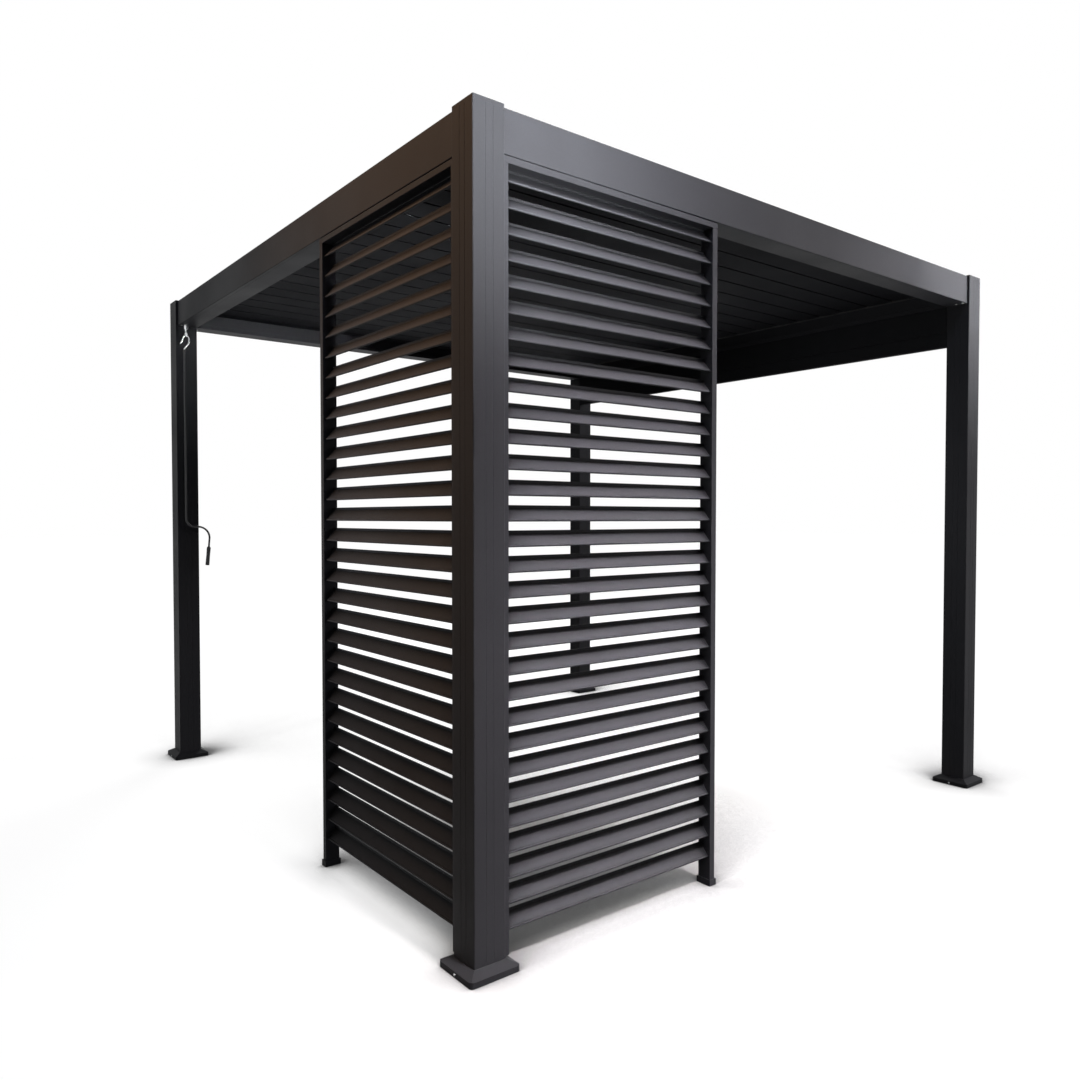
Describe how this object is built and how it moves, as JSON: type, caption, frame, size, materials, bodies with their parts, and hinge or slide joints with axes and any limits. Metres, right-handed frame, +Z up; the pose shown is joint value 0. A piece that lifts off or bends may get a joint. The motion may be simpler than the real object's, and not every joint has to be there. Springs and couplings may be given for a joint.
{
  "type": "louvred-roof metal gazebo",
  "caption": "Open square garden gazebo in coated aluminium with a roof of turning louvres, louvre screens at one corner, gutter beams and a hanging crank.",
  "frame": {"origin": "on the ground, under the middle of the square of posts", "axes": "+Z up, front with one screen towards -Y, left with the other screen towards -X"},
  "size_m": [3.064, 3.064, 2.5],
  "materials": {
    "post_coat": "fine-textured anthracite powder coat, low sheen",
    "beam_coat": "fine-textured anthracite powder coat, low sheen",
    "foot_coat": "anthracite powder coat on a pressed cover",
    "plate_steel": "zinc-plated steel",
    "louvre_coat": "anthracite powder coat",
    "bearing_nylon": "black nylon",
    "link_aluminium": "mill-finish aluminium",
    "gearbox_casting": "die-cast housing",
    "eye_steel": "bright plated steel",
    "rod_coat": "dark grey coat",
    "grip_rubber": "black moulded grip",
    "screen_coat": "anthracite powder coat",
    "blind_coat": "anthracite powder coat"
  },
  "bodies": {
    "frame": {"near_post": "post_coat", "front_right_post": "post_coat", "back_left_post": "post_coat", "back_right_post": "post_coat", "post_caps": "post_coat", "base_plates": "plate_steel", "foot_covers": "foot_coat", "front_beam": "beam_coat", "back_beam": "beam_coat", "left_beam": "beam_coat", "right_beam": "beam_coat", "front_roof_filler": "louvre_coat", "back_roof_filler": "louvre_coat", "bearing_strips": "bearing_nylon", "gearbox": "gearbox_casting", "crank_eye": "eye_steel", "front_screen_frame": "screen_coat", "front_screen_slats": "screen_coat", "left_screen_frame": "screen_coat", "left_screen_slats": "screen_coat", "blind_box": "blind_coat", "blind_bottom_bar": "blind_coat"},
    "louvre_01": {"louvre_01": "louvre_coat"},
    "louvre_02": {"louvre_02": "louvre_coat"},
    "louvre_03": {"louvre_03": "louvre_coat"},
    "louvre_04": {"louvre_04": "louvre_coat"},
    "louvre_05": {"louvre_05": "louvre_coat"},
    "louvre_06": {"louvre_06": "louvre_coat"},
    "louvre_07": {"louvre_07": "louvre_coat"},
    "louvre_08": {"louvre_08": "louvre_coat"},
    "louvre_09": {"louvre_09": "louvre_coat"},
    "louvre_10": {"louvre_10": "louvre_coat"},
    "louvre_11": {"louvre_11": "louvre_coat"},
    "louvre_12": {"louvre_12": "louvre_coat"},
    "louvre_13": {"louvre_13": "louvre_coat"},
    "louvre_14": {"louvre_14": "louvre_coat"},
    "louvre_15": {"louvre_15": "louvre_coat"},
    "louvre_16": {"louvre_16": "louvre_coat"},
    "louvre_17": {"louvre_17": "louvre_coat"},
    "louvre_18": {"louvre_18": "louvre_coat"},
    "louvre_19": {"louvre_19": "louvre_coat"},
    "link_bar": {"link_bar": "link_aluminium"},
    "crank": {"crank_hook": "eye_steel", "crank_rod": "rod_coat", "crank_grip": "grip_rubber"}
  },
  "joints": [
    {"name": "louvre_tilt_01", "type": "hinge", "parent": "frame", "child": "louvre_01", "pos_m": [0, -1.31595, 2.46479], "axis": [1, 0, 0], "range_deg": [0, 90]},
    {"name": "louvre_tilt_02", "type": "hinge", "parent": "frame", "child": "louvre_02", "pos_m": [0, -1.17084, 2.46479], "axis": [1, 0, 0], "range_deg": [0, 90]},
    {"name": "louvre_tilt_03", "type": "hinge", "parent": "frame", "child": "louvre_03", "pos_m": [0, -1.02574, 2.46479], "axis": [1, 0, 0], "range_deg": [0, 90]},
    {"name": "louvre_tilt_04", "type": "hinge", "parent": "frame", "child": "louvre_04", "pos_m": [0, -0.88063, 2.46479], "axis": [1, 0, 0], "range_deg": [0, 90]},
    {"name": "louvre_tilt_05", "type": "hinge", "parent": "frame", "child": "louvre_05", "pos_m": [0, -0.73553, 2.46479], "axis": [1, 0, 0], "range_deg": [0, 90]},
    {"name": "louvre_tilt_06", "type": "hinge", "parent": "frame", "child": "louvre_06", "pos_m": [0, -0.59042, 2.46479], "axis": [1, 0, 0], "range_deg": [0, 90]},
    {"name": "louvre_tilt_07", "type": "hinge", "parent": "frame", "child": "louvre_07", "pos_m": [0, -0.44532, 2.46479], "axis": [1, 0, 0], "range_deg": [0, 90]},
    {"name": "louvre_tilt_08", "type": "hinge", "parent": "frame", "child": "louvre_08", "pos_m": [0, -0.30021, 2.46479], "axis": [1, 0, 0], "range_deg": [0, 90]},
    {"name": "louvre_tilt_09", "type": "hinge", "parent": "frame", "child": "louvre_09", "pos_m": [0, -0.1551, 2.46479], "axis": [1, 0, 0], "range_deg": [0, 90]},
    {"name": "louvre_tilt_10", "type": "hinge", "parent": "frame", "child": "louvre_10", "pos_m": [0, -0.01, 2.46479], "axis": [1, 0, 0], "range_deg": [0, 90]},
    {"name": "louvre_tilt_11", "type": "hinge", "parent": "frame", "child": "louvre_11", "pos_m": [0, 0.13511, 2.46479], "axis": [1, 0, 0], "range_deg": [0, 90]},
    {"name": "louvre_tilt_12", "type": "hinge", "parent": "frame", "child": "louvre_12", "pos_m": [0, 0.28021, 2.46479], "axis": [1, 0, 0], "range_deg": [0, 90]},
    {"name": "louvre_tilt_13", "type": "hinge", "parent": "frame", "child": "louvre_13", "pos_m": [0, 0.42532, 2.46479], "axis": [1, 0, 0], "range_deg": [0, 90]},
    {"name": "louvre_tilt_14", "type": "hinge", "parent": "frame", "child": "louvre_14", "pos_m": [0, 0.57042, 2.46479], "axis": [1, 0, 0], "range_deg": [0, 90]},
    {"name": "louvre_tilt_15", "type": "hinge", "parent": "frame", "child": "louvre_15", "pos_m": [0, 0.71553, 2.46479], "axis": [1, 0, 0], "range_deg": [0, 90]},
    {"name": "louvre_tilt_16", "type": "hinge", "parent": "frame", "child": "louvre_16", "pos_m": [0, 0.86063, 2.46479], "axis": [1, 0, 0], "range_deg": [0, 90]},
    {"name": "louvre_tilt_17", "type": "hinge", "parent": "frame", "child": "louvre_17", "pos_m": [0, 1.00574, 2.46479], "axis": [1, 0, 0], "range_deg": [0, 90]},
    {"name": "louvre_tilt_18", "type": "hinge", "parent": "frame", "child": "louvre_18", "pos_m": [0, 1.15084, 2.46479], "axis": [1, 0, 0], "range_deg": [0, 90]},
    {"name": "louvre_tilt", "type": "hinge", "parent": "frame", "child": "louvre_19", "pos_m": [0, 1.29595, 2.46479], "axis": [1, 0, 0], "range_deg": [0, 90]},
    {"name": "link_turn", "type": "hinge", "parent": "louvre_19", "child": "link_bar", "pos_m": [-1.412, 1.26766, 2.43651], "axis": [1, 0, 0], "range_deg": [-90, 0]},
    {"name": "crank_swing", "type": "hinge", "parent": "frame", "child": "crank", "pos_m": [-1.46, 1.34495, 2.3068], "axis": [-1, 0, 0], "range_deg": [0, 60]}
  ],
  "couplings": [
    {"joint": "louvre_tilt_01", "follows": "louvre_tilt", "ratio": 1},
    {"joint": "louvre_tilt_02", "follows": "louvre_tilt", "ratio": 1},
    {"joint": "louvre_tilt_03", "follows": "louvre_tilt", "ratio": 1},
    {"joint": "louvre_tilt_04", "follows": "louvre_tilt", "ratio": 1},
    {"joint": "louvre_tilt_05", "follows": "louvre_tilt", "ratio": 1},
    {"joint": "louvre_tilt_06", "follows": "louvre_tilt", "ratio": 1},
    {"joint": "louvre_tilt_07", "follows": "louvre_tilt", "ratio": 1},
    {"joint": "louvre_tilt_08", "follows": "louvre_tilt", "ratio": 1},
    {"joint": "louvre_tilt_09", "follows": "louvre_tilt", "ratio": 1},
    {"joint": "louvre_tilt_10", "follows": "louvre_tilt", "ratio": 1},
    {"joint": "louvre_tilt_11", "follows": "louvre_tilt", "ratio": 1},
    {"joint": "louvre_tilt_12", "follows": "louvre_tilt", "ratio": 1},
    {"joint": "louvre_tilt_13", "follows": "louvre_tilt", "ratio": 1},
    {"joint": "louvre_tilt_14", "follows": "louvre_tilt", "ratio": 1},
    {"joint": "louvre_tilt_15", "follows": "louvre_tilt", "ratio": 1},
    {"joint": "louvre_tilt_16", "follows": "louvre_tilt", "ratio": 1},
    {"joint": "louvre_tilt_17", "follows": "louvre_tilt", "ratio": 1},
    {"joint": "louvre_tilt_18", "follows": "louvre_tilt", "ratio": 1},
    {"joint": "link_turn", "follows": "louvre_tilt", "ratio": -1}
  ]
}
